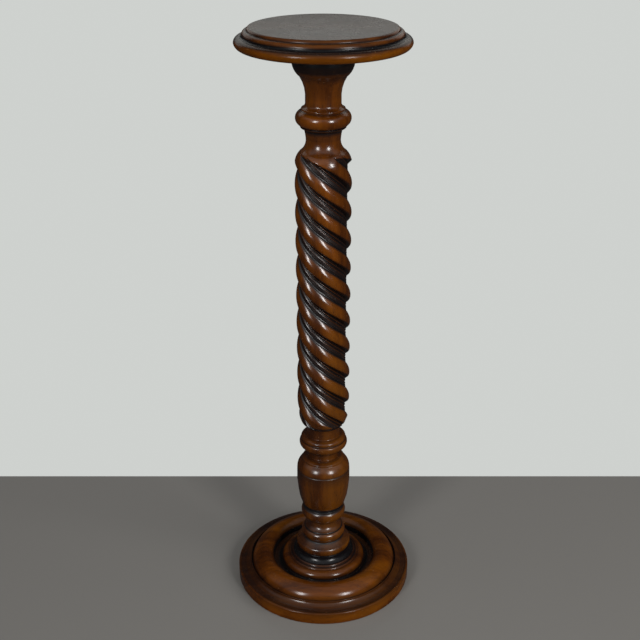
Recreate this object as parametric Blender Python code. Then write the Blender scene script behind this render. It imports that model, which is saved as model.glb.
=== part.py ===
"""Turned wooden pedestal: moulded round top, barley-twist column and dished round base.

Metres, +Z up. The origin is on the floor, under the middle of the base.
"""
import math

import bmesh
import bpy
from mathutils import Vector

# The joints between the three pieces
JOINT_GAP = 0.0003

# Base: radial widths outwards from the seat under the column's foot
BASE_COVE_WIDTH = 0.0078
BASE_COVE_HOLLOW = 0.0022
BASE_BEAD_WIDTH = 0.0052
BASE_QUIRK_WIDTH = 0.0016
BASE_OVOLO_WIDTH = 0.0165
BASE_OVOLO_CROWN = 0.0036
WELL_WALL_WIDTH = 0.0014
WELL_FLOOR_WIDTH = 0.0106
RING_WIDTH = 0.0395
RING_GROOVE_WIDTH = 0.0022
BASE_FILLET_WIDTH = 0.0018
BASE_SCOTIA_WIDTH = 0.0170
BASE_SCOTIA_HOLLOW = 0.0022
PLINTH_EDGE_WIDTH = 0.0042
PLINTH_EDGE_CROWN = 0.0004

# Base: heights above the floor
SEAT_HEIGHT = 0.0593
BASE_BEAD_HEIGHT = 0.0468
BASE_BEAD_CROWN = 0.0012
BASE_QUIRK_HEIGHT = 0.0432
OVOLO_TOP_HEIGHT = 0.0430
OVOLO_FOOT_HEIGHT = 0.0350
WELL_HEIGHT = 0.0270
RING_CROWN = 0.0180
RING_GROOVE_HEIGHT = 0.0272
BASE_FILLET_HEIGHT = 0.0306
SCOTIA_TOP_HEIGHT = 0.0272
PLINTH_HEIGHT = 0.0216
PLINTH_ROUND = 0.0014
FLOOR_BEVEL = 0.0012

# Column foot, drops from the top of each moulding down to the seat
FOOT_RADIUS = 0.0450
FOOT_DROP = 0.0125
FOOT_CROWN = 0.0022
FOOT_COVE_RADIUS = 0.0345
FOOT_COVE_DROP = 0.0075
ANKLE_BEAD_RADIUS = 0.0348
ANKLE_BEAD_DROP = 0.0144
ANKLE_BEAD_CROWN = 0.0038
ANKLE_GROOVE_DROP = 0.0040
ANKLE_QUIRK_RADIUS = 0.0322
ANKLE_QUIRK_DROP = 0.0016
ANKLE_FLARE_DROP = 0.0096
ANKLE_FLARE_HOLLOW = 0.0015
ANKLE_RADIUS = 0.0249
ANKLE_DROP = 0.0049
ANKLE_FILLET_RADIUS = 0.0268
ANKLE_FILLET_FOOT_DROP = 0.0039
COLLAR_UNDERCUT_DROP = 0.0007
ANKLE_FILLET_DROP = 0.0061

# Collar ring and urn
COLLAR_RADIUS = 0.0364
COLLAR_DROP = 0.0156
COLLAR_CROWN = 0.0026
COLLAR_GROOVE_RADIUS = 0.0328
COLLAR_GROOVE_DROP = 0.0040
COLLAR_LIP_DROP = 0.0015
URN_UNDERCUT_DROP = 0.0054
URN_FOOT_RADIUS = 0.0375
URN_LOWER_DROP = 0.0274
URN_LOWER_CROWN = 0.0010
URN_WAIST_RADIUS = 0.0437
URN_UPPER_DROP = 0.0389
URN_UPPER_CROWN = 0.0012
URN_RADIUS = 0.0455
URN_LINE_DEPTH = 0.0009
URN_LINE_DROP = 0.0028
URN_DOME_DROP = 0.0177
URN_DOME_CROWN = 0.0026
URN_RIM_RADIUS = 0.0368
URN_RIM_DROP = 0.0033
URN_SHOULDER_RADIUS = 0.0290
URN_FILLET_DROP = 0.0011
URN_SHOULDER_DROP = 0.0026

# Double ring over the urn
THROAT_RADIUS = 0.0244
THROAT_DROP = 0.0090
THROAT_COVE_DROP = 0.0114
LOWER_RING_RADIUS = 0.0386
LOWER_RING_DROP = 0.0115
LOWER_RING_CROWN = 0.0026
RING_QUIRK_RADIUS = 0.0368
RING_QUIRK_DROP = 0.0015
UPPER_RING_RADIUS = 0.0378
UPPER_RING_DROP = 0.0061
UPPER_RING_SHELF_RADIUS = 0.0300
UPPER_RING_FILLET_DROP = 0.0009
UPPER_RING_SHELF_DROP = 0.0022
TWIST_FOOT_NECK_RADIUS = 0.0272
TWIST_FOOT_NECK_DROP = 0.0180

# Barley twist: a turned blank carved with left-handed grooves
STRANDS = 4
TWIST_LEAD = 0.1872
BLANK_TOP_RADIUS = 0.0443
BLANK_FOOT_RADIUS = 0.0435
BLANK_DROP = 0.4312
TWIST_TAIL_RADIUS = 0.0385
TWIST_TAIL_DROP = 0.0180
TWIST_TAIL_CROWN = 0.0007
TWIST_CURL_DROP = 0.0113
TWIST_CURL_CROWN = 0.0023
GROOVE_FLOOR_RADIUS = 0.0346
GROOVE_BEAD_RADIUS = 0.0370
GROOVE_BAND_RADIUS = 0.0380
STRAND_UPPER_EDGE_DEPTH = 0.0021
STRAND_BROW_DEPTH = 0.0003
STRAND_LOWER_EDGE_DEPTH = 0.0030

# Down one strand and its groove, from the strand's upper edge, as shares of their pitch
STRAND_BROW_SHARE = 0.13
STRAND_BELLY_SHARE = 0.33
STRAND_LOWER_EDGE_SHARE = 0.45
GROOVE_FLOOR_SHARE = 0.55
GROOVE_BEAD_SHARE = 0.65
GROOVE_BAND_SHARE = 0.84

# Rows over which the grooves run in at either end of the twist
RUN_IN_ROWS = 3

# Neck over the twist
SHOULDER_DROP = 0.0178
SHOULDER_CROWN = 0.0016
SHOULDER_COVE_RADIUS = 0.0367
SHOULDER_COVE_DROP = 0.0074
LOWER_NECK_TOP_RADIUS = 0.0292
LOWER_NECK_RADIUS = 0.0268
LOWER_NECK_UPPER_DROP = 0.0131
LOWER_NECK_LOWER_DROP = 0.0141
NECK_FILLET_RADIUS = 0.0352
NECK_FILLET_DROP = 0.0048
KNOP_QUIRK_DROP = 0.0014
NECK_QUIRK_RADIUS = 0.0330
NECK_QUIRK_DROP = 0.0015
KNOP_EDGE_RADIUS = 0.0348
KNOP_DROP = 0.0230
KNOP_CROWN = 0.0080
KNOP_BEAD_RADIUS = 0.0338
KNOP_BEAD_DROP = 0.0037
KNOP_STEP_DROP = 0.0050
UPPER_NECK_RADIUS = 0.0273
UPPER_NECK_DROP = 0.0144
BELL_WAIST_RADIUS = 0.0361
BELL_LOWER_DROP = 0.0268
BELL_LOWER_HOLLOW = 0.0019
CAP_RADIUS = 0.0473
BELL_UPPER_DROP = 0.0238
BELL_UPPER_CROWN = 0.0030
CAP_DROP = 0.0171

# Top: drops and widths from the flat face out to the lip
TOP_FLAT_RADIUS = 0.1078
TOP_OVOLO_WIDTH = 0.0052
TOP_OVOLO_DROP = 0.0042
TOP_OVOLO_CROWN = 0.0009
TOP_BEAD_WIDTH = 0.0060
TOP_BEAD_DROP = 0.0058
TOP_BEAD_CROWN = 0.0015
TOP_COVE_WIDTH = 0.0030
TOP_COVE_DROP = 0.0042
TOP_LIP_WIDTH = 0.0094
TOP_LIP_UPPER_DROP = 0.0078
TOP_LIP_UPPER_CROWN = 0.0028
TOP_LIP_LOWER_DROP = 0.0082
TOP_LIP_LOWER_CROWN = 0.0022

# Facets
DISC_SIDES = 32
SHARP_ANGLE = math.radians(32)

# Node name: base colour, roughness
FINISHES = {
    "top": ((0.085, 0.032, 0.013), 0.32),
    "column": ((0.100, 0.034, 0.012), 0.30),
    "base": ((0.092, 0.032, 0.012), 0.32),
}


class Outline:
    """A turner's half section, drawn from one point to the next."""

    def __init__(self, radius, height):
        self.points = [(radius, height)]

    def line(self, width=0.0, drop=0.0):
        """Go out by width and down by drop."""
        radius, height = self.points[-1]
        self.points.append((radius + width, height - drop))

    def to_radius(self, radius, drop=0.0):
        """Go down by drop to a given radius."""
        self.points.append((radius, self.points[-1][1] - drop))

    def arc(self, radius, drop, crown, steps):
        """Go down by drop to a radius along an arc; a crown below zero hollows it."""
        start = Vector(self.points[-1])
        end = Vector((radius, start.y - drop))
        chord = end - start
        outward = Vector((-chord.y, chord.x)).normalized()
        half = chord.length / 2
        arc_radius = (half * half + crown * crown) / (2 * abs(crown))
        sweep = 2 * math.asin(min(1.0, half / arc_radius))
        if abs(crown) > half:
            sweep = 2 * math.pi - sweep
        centre = (start + end) / 2 + outward * (crown - math.copysign(arc_radius, crown))
        spoke = start - centre
        turn = -math.copysign(sweep, crown)
        for step in range(1, steps + 1):
            angle = turn * step / steps
            cosine = math.cos(angle)
            sine = math.sin(angle)
            x = spoke.x * cosine - spoke.y * sine
            y = spoke.x * sine + spoke.y * cosine
            self.points.append((centre.x + x, centre.y + y))


def radius_at(points, height):
    """Radius of a half section, listed downwards, at one height."""
    for (r0, z0), (r1, z1) in zip(points, points[1:]):
        if z1 <= height <= z0:
            share = (z0 - height) / max(z0 - z1, 1e-9)
            return r0 + (r1 - r0) * share
    return points[-1][0] if height < points[-1][1] else points[0][0]


def ring_points(radius, height, sides):
    """Corners of one level ring."""
    turn = math.tau / sides
    return [Vector((radius * math.cos(turn * i), radius * math.sin(turn * i), height))
            for i in range(sides)]


def build_mesh(name, rings):
    """Skin rings, listed downwards, and close both ends with flat faces."""
    sides = len(rings[0])
    shape = bmesh.new()
    loops = [[shape.verts.new(corner) for corner in ring] for ring in rings]
    for upper, lower in zip(loops, loops[1:]):
        for i in range(sides):
            j = (i + 1) % sides
            shape.faces.new((upper[i], lower[i], lower[j]))
            shape.faces.new((upper[i], lower[j], upper[j]))
    shape.faces.new(loops[0])
    shape.faces.new(list(reversed(loops[-1])))
    mesh = bpy.data.meshes.new(name)
    shape.to_mesh(mesh)
    shape.free()
    mesh.shade_smooth()
    mesh.set_sharp_from_angle(angle=SHARP_ANGLE)
    return mesh


def finish_material(name):
    """Stained wood under a clear finish."""
    colour, roughness = FINISHES[name]
    material = bpy.data.materials.new("stained_" + name)
    material.use_nodes = True
    shader = material.node_tree.nodes["Principled BSDF"]
    shader.inputs["Base Color"].default_value = (*colour, 1.0)
    shader.inputs["Roughness"].default_value = roughness
    shader.inputs["Metallic"].default_value = 0.0
    return material


def add_piece(name, rings):
    """Make one solid piece of the pedestal."""
    mesh = build_mesh(name, rings)
    mesh.materials.append(finish_material(name))
    piece = bpy.data.objects.new(name, mesh)
    bpy.context.scene.collection.objects.link(piece)
    return piece


def base_outline():
    """Half section of the base, from the seat outwards and down to the floor."""
    out = Outline(FOOT_RADIUS, SEAT_HEIGHT)
    cove_edge = FOOT_RADIUS + BASE_COVE_WIDTH
    out.arc(cove_edge, SEAT_HEIGHT - BASE_BEAD_HEIGHT, -BASE_COVE_HOLLOW, 2)
    bead_edge = cove_edge + BASE_BEAD_WIDTH
    out.arc(bead_edge, BASE_BEAD_HEIGHT - BASE_QUIRK_HEIGHT, BASE_BEAD_CROWN, 2)
    out.line(BASE_QUIRK_WIDTH, BASE_QUIRK_HEIGHT - OVOLO_TOP_HEIGHT)
    ovolo_edge = bead_edge + BASE_QUIRK_WIDTH + BASE_OVOLO_WIDTH
    out.arc(ovolo_edge, OVOLO_TOP_HEIGHT - OVOLO_FOOT_HEIGHT, BASE_OVOLO_CROWN, 3)
    out.line(WELL_WALL_WIDTH, OVOLO_FOOT_HEIGHT - WELL_HEIGHT)
    out.line(WELL_FLOOR_WIDTH)
    ring_edge = ovolo_edge + WELL_WALL_WIDTH + WELL_FLOOR_WIDTH + RING_WIDTH
    out.arc(ring_edge, WELL_HEIGHT - RING_GROOVE_HEIGHT, RING_CROWN, 6)
    out.line(RING_GROOVE_WIDTH)
    out.line(0.0, RING_GROOVE_HEIGHT - BASE_FILLET_HEIGHT)
    out.line(BASE_FILLET_WIDTH)
    out.line(0.0, BASE_FILLET_HEIGHT - SCOTIA_TOP_HEIGHT)
    scotia_edge = ring_edge + RING_GROOVE_WIDTH + BASE_FILLET_WIDTH + BASE_SCOTIA_WIDTH
    out.arc(scotia_edge, SCOTIA_TOP_HEIGHT - PLINTH_HEIGHT, -BASE_SCOTIA_HOLLOW, 2)
    out.arc(scotia_edge + PLINTH_EDGE_WIDTH, PLINTH_ROUND, PLINTH_EDGE_CROWN, 2)
    out.line(0.0, PLINTH_HEIGHT - PLINTH_ROUND - FLOOR_BEVEL)
    out.line(-FLOOR_BEVEL, FLOOR_BEVEL)
    return out.points


def neck_outline(start):
    """Half section from the cap under the top down to the shoulder of the twist."""
    out = Outline(CAP_RADIUS, start)
    out.line(0.0, CAP_DROP)
    out.arc(BELL_WAIST_RADIUS, BELL_UPPER_DROP, BELL_UPPER_CROWN, 2)
    out.arc(UPPER_NECK_RADIUS, BELL_LOWER_DROP, -BELL_LOWER_HOLLOW, 2)
    out.line(0.0, UPPER_NECK_DROP)
    out.to_radius(KNOP_BEAD_RADIUS, KNOP_STEP_DROP)
    out.line(0.0, KNOP_BEAD_DROP)
    out.to_radius(KNOP_EDGE_RADIUS, KNOP_QUIRK_DROP)
    out.arc(KNOP_EDGE_RADIUS, KNOP_DROP, KNOP_CROWN, 4)
    out.to_radius(NECK_QUIRK_RADIUS, NECK_QUIRK_DROP / 2)
    out.to_radius(NECK_FILLET_RADIUS, NECK_QUIRK_DROP / 2)
    out.to_radius(LOWER_NECK_TOP_RADIUS, NECK_FILLET_DROP)
    out.to_radius(LOWER_NECK_RADIUS, LOWER_NECK_UPPER_DROP)
    out.to_radius(LOWER_NECK_TOP_RADIUS, LOWER_NECK_LOWER_DROP)
    return out.points


def blank_outline(start):
    """Half section of the turned blank of the twist, before it is carved."""
    out = Outline(LOWER_NECK_TOP_RADIUS, start)
    out.to_radius(SHOULDER_COVE_RADIUS, SHOULDER_COVE_DROP)
    out.arc(BLANK_TOP_RADIUS, SHOULDER_DROP, SHOULDER_CROWN, 4)
    out.to_radius(BLANK_FOOT_RADIUS, BLANK_DROP)
    out.arc(TWIST_TAIL_RADIUS, TWIST_TAIL_DROP, TWIST_TAIL_CROWN, 4)
    out.arc(TWIST_FOOT_NECK_RADIUS, TWIST_CURL_DROP, TWIST_CURL_CROWN, 3)
    return out.points


def lower_outline(start):
    """Half section from the neck under the twist down to the seat on the base."""
    out = Outline(TWIST_FOOT_NECK_RADIUS, start)
    out.line(0.0, TWIST_FOOT_NECK_DROP)
    out.to_radius(UPPER_RING_SHELF_RADIUS, UPPER_RING_FILLET_DROP)
    out.to_radius(UPPER_RING_RADIUS, UPPER_RING_SHELF_DROP)
    out.line(0.0, UPPER_RING_DROP)
    out.to_radius(RING_QUIRK_RADIUS, RING_QUIRK_DROP)
    out.arc(LOWER_RING_RADIUS, LOWER_RING_DROP, LOWER_RING_CROWN, 3)
    out.to_radius(THROAT_RADIUS, THROAT_COVE_DROP)
    out.line(0.0, THROAT_DROP)
    out.to_radius(URN_SHOULDER_RADIUS, URN_FILLET_DROP)
    out.to_radius(URN_RIM_RADIUS, URN_SHOULDER_DROP)
    out.line(0.0, URN_RIM_DROP)
    out.arc(URN_RADIUS, URN_DOME_DROP, URN_DOME_CROWN, 3)
    out.line(-URN_LINE_DEPTH, URN_LINE_DROP / 2)
    out.to_radius(URN_RADIUS, URN_LINE_DROP / 2)
    out.arc(URN_WAIST_RADIUS, URN_UPPER_DROP, URN_UPPER_CROWN, 2)
    out.arc(URN_FOOT_RADIUS, URN_LOWER_DROP, URN_LOWER_CROWN, 2)
    out.to_radius(COLLAR_GROOVE_RADIUS, URN_UNDERCUT_DROP)
    out.line(0.0, COLLAR_GROOVE_DROP)
    out.to_radius(COLLAR_RADIUS, COLLAR_LIP_DROP)
    out.arc(COLLAR_RADIUS, COLLAR_DROP, COLLAR_CROWN, 3)
    out.to_radius(ANKLE_FILLET_RADIUS, COLLAR_UNDERCUT_DROP)
    out.line(0.0, ANKLE_FILLET_DROP)
    out.to_radius(ANKLE_RADIUS, ANKLE_FILLET_FOOT_DROP)
    out.line(0.0, ANKLE_DROP)
    out.arc(ANKLE_QUIRK_RADIUS, ANKLE_FLARE_DROP, -ANKLE_FLARE_HOLLOW, 2)
    out.line(0.0, ANKLE_QUIRK_DROP)
    out.arc(ANKLE_BEAD_RADIUS, ANKLE_BEAD_DROP, ANKLE_BEAD_CROWN, 3)
    out.to_radius(FOOT_COVE_RADIUS, ANKLE_GROOVE_DROP)
    out.to_radius(FOOT_RADIUS, FOOT_COVE_DROP)
    out.arc(FOOT_RADIUS, FOOT_DROP, FOOT_CROWN, 3)
    return out.points


def strand_section(crest):
    """Places down one strand and its groove, as shares of their pitch, and the radius at each."""
    return (
        (0.0, crest - STRAND_UPPER_EDGE_DEPTH),
        (STRAND_BROW_SHARE, crest - STRAND_BROW_DEPTH),
        (STRAND_BELLY_SHARE, crest - STRAND_BROW_DEPTH),
        (STRAND_LOWER_EDGE_SHARE, crest - STRAND_LOWER_EDGE_DEPTH),
        (GROOVE_FLOOR_SHARE, GROOVE_FLOOR_RADIUS),
        (GROOVE_BEAD_SHARE, GROOVE_BEAD_RADIUS),
        (GROOVE_BAND_SHARE, GROOVE_BAND_RADIUS),
    )


def twist_rings(blank):
    """Rings of the twist: the blank cut down to the strands' section along each helix."""
    places = len(strand_section(BLANK_TOP_RADIUS))
    sides = STRANDS * places
    pitch = TWIST_LEAD / STRANDS
    row_drop = pitch / places
    start = blank[0][1]
    end = blank[-1][1]
    rows = int((start - end) / row_drop)
    rings = []
    for row in range(1, rows):
        ease = min(1.0, row / RUN_IN_ROWS, (rows - row) / RUN_IN_ROWS)
        ring = []
        for side in range(sides):
            place = (row - side) % places
            level = start - row * row_drop
            share = (start - level) / (start - end)
            crest = BLANK_TOP_RADIUS + (BLANK_FOOT_RADIUS - BLANK_TOP_RADIUS) * share
            down, carved = strand_section(crest)[place]
            height = level - ease * (down - place / places) * pitch
            radius = min(radius_at(blank, height), carved)
            angle = math.tau * side / sides
            ring.append(Vector((radius * math.cos(angle), radius * math.sin(angle), height)))
        rings.append(ring)
    return rings


def top_outline(underside):
    """Half section of the top, from the flat face outwards and down to the underside."""
    lip_drop = TOP_LIP_UPPER_DROP + TOP_LIP_LOWER_DROP
    thickness = TOP_OVOLO_DROP + TOP_BEAD_DROP + TOP_COVE_DROP + lip_drop
    out = Outline(TOP_FLAT_RADIUS, underside + thickness)
    ovolo_edge = TOP_FLAT_RADIUS + TOP_OVOLO_WIDTH
    out.arc(ovolo_edge, TOP_OVOLO_DROP, TOP_OVOLO_CROWN, 2)
    bead_edge = ovolo_edge + TOP_BEAD_WIDTH
    out.arc(bead_edge, TOP_BEAD_DROP, TOP_BEAD_CROWN, 2)
    cove_edge = bead_edge + TOP_COVE_WIDTH
    out.to_radius(cove_edge, TOP_COVE_DROP)
    out.arc(cove_edge + TOP_LIP_WIDTH, TOP_LIP_UPPER_DROP, TOP_LIP_UPPER_CROWN, 3)
    out.arc(cove_edge, TOP_LIP_LOWER_DROP, TOP_LIP_LOWER_CROWN, 3)
    return out.points


def outline_drop(points):
    """How far a half section runs down."""
    return points[0][1] - points[-1][1]


for scene_object in list(bpy.data.objects):
    bpy.data.objects.remove(scene_object, do_unlink=True)

# Heights: the column stands on the base's seat and carries the top
neck_drop = outline_drop(neck_outline(0.0))
blank_drop = outline_drop(blank_outline(0.0))
lower_drop = outline_drop(lower_outline(0.0))
column_foot = SEAT_HEIGHT + JOINT_GAP
column_head = column_foot + lower_drop + blank_drop + neck_drop

neck = neck_outline(column_head)
blank = blank_outline(neck[-1][1])
lower = lower_outline(blank[-1][1])

column_sides = STRANDS * len(strand_section(BLANK_TOP_RADIUS))
column_rings = [ring_points(radius, height, column_sides) for radius, height in neck]
column_rings += twist_rings(blank)
column_rings += [ring_points(radius, height, column_sides) for radius, height in lower]

base_rings = [ring_points(radius, height, DISC_SIDES) for radius, height in base_outline()]
top_rings = [ring_points(radius, height, DISC_SIDES)
             for radius, height in top_outline(column_head + JOINT_GAP)]

add_piece("base", base_rings)
add_piece("column", column_rings)
add_piece("top", top_rings)
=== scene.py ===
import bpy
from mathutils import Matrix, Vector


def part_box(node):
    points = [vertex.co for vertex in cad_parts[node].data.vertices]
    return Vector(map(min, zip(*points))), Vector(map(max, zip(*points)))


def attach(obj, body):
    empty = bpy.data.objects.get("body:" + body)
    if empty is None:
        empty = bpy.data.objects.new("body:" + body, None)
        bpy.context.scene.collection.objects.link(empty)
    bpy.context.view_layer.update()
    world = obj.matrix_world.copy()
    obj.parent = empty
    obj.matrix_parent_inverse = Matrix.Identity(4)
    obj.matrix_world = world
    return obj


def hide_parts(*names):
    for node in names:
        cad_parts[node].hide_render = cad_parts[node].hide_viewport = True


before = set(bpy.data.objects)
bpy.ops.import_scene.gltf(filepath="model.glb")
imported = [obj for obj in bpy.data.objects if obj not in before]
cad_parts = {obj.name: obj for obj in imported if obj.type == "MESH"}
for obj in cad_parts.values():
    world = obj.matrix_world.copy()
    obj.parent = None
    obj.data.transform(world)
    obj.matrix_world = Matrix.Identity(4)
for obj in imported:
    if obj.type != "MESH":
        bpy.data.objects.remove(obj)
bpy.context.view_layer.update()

# %% [markdown]
# # A turned pedestal with a barley-twist column
#
# The real object is three pieces of wood: a round top, a long turned column and a dished round base.
# All three come off a lathe, so each is one outline spun around the upright axis. Only the twist is
# carved afterwards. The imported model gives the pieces' places, and this script gives them their fine
# mouldings, their carving, their stain and their lacquer.

# %% Tools
import math

import bmesh
import bpy
from mathutils import Vector

MM = 0.001


def node_corners(node):
    """Lowest and highest corner of one node of the frame."""
    low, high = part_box(node)
    return Vector(low), Vector(high)


for node in ("base", "column", "top"):
    low, high = node_corners(node)
    print(f"{node}: {low.z / MM:.1f} to {high.z / MM:.1f} mm up, {(high.x - low.x) / MM:.1f} mm across")

# %% [markdown]
# ## The camera
#
# The photograph looks down on the pedestal from a little above its top. A camera that is level would
# show the top as a line, so the pitch matters most: the ellipses of the top and the base only open as
# far as they do in the photograph at one pitch, one distance and one focal length together. The three
# were solved from those ellipses, and the camera is placed by them here.

# %% Camera
CAMERA_HEIGHT = 1.2461
CAMERA_DISTANCE = 1.5871
CAMERA_PITCH = math.radians(25.16)
CAMERA_FOCAL_PIXELS = 1073.8
PICTURE_PIXELS = 640
AXIS_OFF_CENTRE_PIXELS = 3.3

camera_data = bpy.data.cameras.new("photographer")
camera_data.sensor_width = 36.0
camera_data.lens = camera_data.sensor_width * CAMERA_FOCAL_PIXELS / PICTURE_PIXELS
camera_data.shift_x = -AXIS_OFF_CENTRE_PIXELS / PICTURE_PIXELS
camera = bpy.data.objects.new("photographer", camera_data)
camera.location = (0.0, -CAMERA_DISTANCE, CAMERA_HEIGHT)
camera.rotation_euler = (math.pi / 2 - CAMERA_PITCH, 0.0, 0.0)
bpy.context.scene.collection.objects.link(camera)
bpy.context.scene.camera = camera
print(f"lens {camera_data.lens:.1f} mm, looking down {math.degrees(CAMERA_PITCH):.1f} degrees")

# %% [markdown]
# ## A turner's outline
#
# A turner marks a story stick: each moulding's name, its width and how far down it ends. The lists
# below are such sticks, in millimetres: the radius that a moulding reaches, its drop, and its crown,
# which is how far it bulges out of the straight line. A crown below zero hollows it. The last number
# is the share of near-black laid there, from 0 on a clean round to 1 in a quirk: partly the finisher's
# glaze, partly painted shade where shade falls, as under the top and under the knop.
# Drawing curves by hand with Bezier handles would work too, but arcs are what a gouge cuts, and they
# keep every moulding easy to change.

# %% Outline helpers
ARC_STEP = math.radians(11)
STRAIGHT_STEP = 9.0 * MM


def arc_points(start, end, crown):
    """Points after start along an arc that bulges out of its chord by crown."""
    chord = end - start
    half = chord.length / 2
    radius = (half * half + crown * crown) / (2 * abs(crown))
    sweep = 2 * math.asin(min(1.0, half / radius))
    if abs(crown) > half:
        sweep = math.tau - sweep
    outward = Vector((-chord.y, chord.x)).normalized()
    centre = (start + end) / 2 + outward * (crown - math.copysign(radius, crown))
    steps = max(2, math.ceil(sweep / ARC_STEP))
    turn = -math.copysign(sweep, crown)
    spoke = start - centre
    points = []
    for step in range(1, steps + 1):
        angle = turn * step / steps
        points.append(centre + Vector((
            spoke.x * math.cos(angle) - spoke.y * math.sin(angle),
            spoke.x * math.sin(angle) + spoke.y * math.cos(angle),
        )))
    return points


def straight_points(start, end):
    """Points after start along a straight run."""
    steps = max(1, round((end - start).length / STRAIGHT_STEP))
    return [start.lerp(end, step / steps) for step in range(1, steps + 1)]


def read_stick(start_radius, start_height, stick, stretch=1.0):
    """Half section of a story stick, as points of radius and height listed downwards, and its glaze and painted
    shade.
    """
    points = [Vector((start_radius * MM, start_height))]
    glazes_and_shades = [stick[0][4]]
    for name, radius, drop, crown, glaze_and_shade in stick:
        start = points[-1]
        end = Vector((radius * MM, start.y - drop * MM * stretch))
        points += arc_points(start, end, crown * MM) if crown else straight_points(start, end)
        glazes_and_shades += [glaze_and_shade] * (len(points) - len(glazes_and_shades))
    return points, glazes_and_shades


def stick_drop(stick):
    """How far a story stick runs down, in metres."""
    return sum(drop for name, radius, drop, crown, glaze_and_shade in stick) * MM


# %% [markdown]
# Sharp corners don't exist on a lacquered turning: sanding takes the edge off, and a thin line of light
# runs along what is left. A bevel modifier could do this for the whole mesh, but rounding the outline
# before it is spun costs far fewer faces.

# %% Eased corners
SANDED_REACH = 0.45 * MM
CORNER_BEND = math.radians(24)


def eased(points, glazes_and_shades):
    """The same half section with its sharp corners sanded."""
    result = [points[0]]
    result_glazes_and_shades = [glazes_and_shades[0]]
    for before, corner, after, glaze_and_shade in zip(points, points[1:], points[2:], glazes_and_shades[1:]):
        arriving = corner - before
        leaving = after - corner
        if arriving.angle(leaving, 0.0) < CORNER_BEND:
            result.append(corner)
            result_glazes_and_shades.append(glaze_and_shade)
            continue
        back = corner - arriving.normalized() * min(SANDED_REACH, arriving.length / 3)
        on = corner + leaving.normalized() * min(SANDED_REACH, leaving.length / 3)
        result += [back, (back + on) / 4 + corner / 2, on]
        result_glazes_and_shades += [glaze_and_shade] * 3
    return result + [points[-1]], result_glazes_and_shades + [glazes_and_shades[-1]]


# %% [markdown]
# The finish is darker in the hollows. Partly that is the brown-black glaze that is wiped over the stain
# and stays there, and partly it is painted shade: the darkness that falls into hollows and under
# overhangs, painted into the colour. It never stops dead at the edge of a quirk: the cloth drags the
# glaze out over the next round, where it thins out within a few millimetres. So each point takes the
# strongest glaze and shade around it, weakened by the distance. An ambient occlusion node would find
# the hollows too, but at render time only, and it would also darken whatever the pedestal stands near.

# %% Wiped glaze
COLUMN_WIPE = 2.8 * MM
TOP_WIPE = 3.2 * MM
BASE_WIPE = 7.0 * MM
# painted shade: the least share of near-black that the lower column takes
PAINTED_SHADE_LOW_DOWN = 0.33


def wiped(points, glazes_and_shades, reach):
    """Glaze and painted shade at each point of a half section after they were dragged out of the quirks."""
    return [max(glaze_and_shade * math.exp(-(point - place).length / reach)
                for place, glaze_and_shade in zip(points, glazes_and_shades)) for point in points]


# %% [markdown]
# ## Spinning an outline
#
# The Screw modifier spins an outline too. A few lines of mesh code do the same here, because they also
# write the glaze and painted shade as an attribute, close both ends, and choose the diagonal of each
# face, which the twist needs.

# %% Lathe
def spin(name, points, glazes_and_shades, sides, slanted=None):
    """Turn a half section into a closed mesh; faces between two heights are cut along one slant."""
    shape = bmesh.new()
    glaze_and_shade_layer = shape.verts.layers.float.new("glaze_and_shade")
    rings = []
    for point, glaze_and_shade in zip(points, glazes_and_shades):
        ring = []
        for side in range(sides):
            angle = math.tau * side / sides
            corner = shape.verts.new((point.x * math.cos(angle), point.x * math.sin(angle), point.y))
            corner[glaze_and_shade_layer] = glaze_and_shade
            ring.append(corner)
        rings.append(ring)
    for upper, lower, point in zip(rings, rings[1:], points):
        cut = slanted is not None and slanted[0] < point.y <= slanted[1]
        for side in range(sides):
            following = (side + 1) % sides
            a, b = upper[side], lower[side]
            c, d = lower[following], upper[following]
            if cut:
                shape.faces.new((a, b, c))
                shape.faces.new((a, c, d))
            else:
                shape.faces.new((a, b, c, d))
    for ring, point, glaze_and_shade, end in ((rings[0], points[0], glazes_and_shades[0], 1), (rings[-1], points[-1], glazes_and_shades[-1], -1)):
        pole = shape.verts.new((0.0, 0.0, point.y))
        pole[glaze_and_shade_layer] = glaze_and_shade
        for side in range(sides):
            following = (side + 1) % sides
            corners = (pole, ring[side], ring[following])
            shape.faces.new(corners if end > 0 else tuple(reversed(corners)))
    mesh = bpy.data.meshes.new(name)
    shape.to_mesh(mesh)
    shape.free()
    mesh.shade_smooth()
    piece = bpy.data.objects.new(name, mesh)
    bpy.context.scene.collection.objects.link(piece)
    return piece


def count_triangles(piece):
    """Triangles of a piece's mesh."""
    return sum(len(face.vertices) - 2 for face in piece.data.polygons)


def plain_mesh(piece):
    """Replace a piece's mesh by its evaluated one and take its modifiers off."""
    view = bpy.context.evaluated_depsgraph_get()
    mesh = bpy.data.meshes.new_from_object(piece.evaluated_get(view), preserve_all_data_layers=True,
                                           depsgraph=view)
    piece.modifiers.clear()
    piece.data = mesh


def weigh_normals(piece, favour):
    """Let broad faces keep their own direction beside a narrow sanded edge; 50 favours none."""
    weighted = piece.modifiers.new("broad_faces_first", "WEIGHTED_NORMAL")
    weighted.mode = "FACE_AREA"
    weighted.weight = favour
    plain_mesh(piece)


# %% [markdown]
# ## The column's outline
#
# From the cap under the top down to the foot, the column is one length of wood. Its stick is read in
# three lots: the bell and the ringed knop above the twist, the plain blank that the twist is carved
# into, and the double ring, urn, collar and foot below it.

# %% Neck stick
CAP_RADIUS = 47.3
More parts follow.
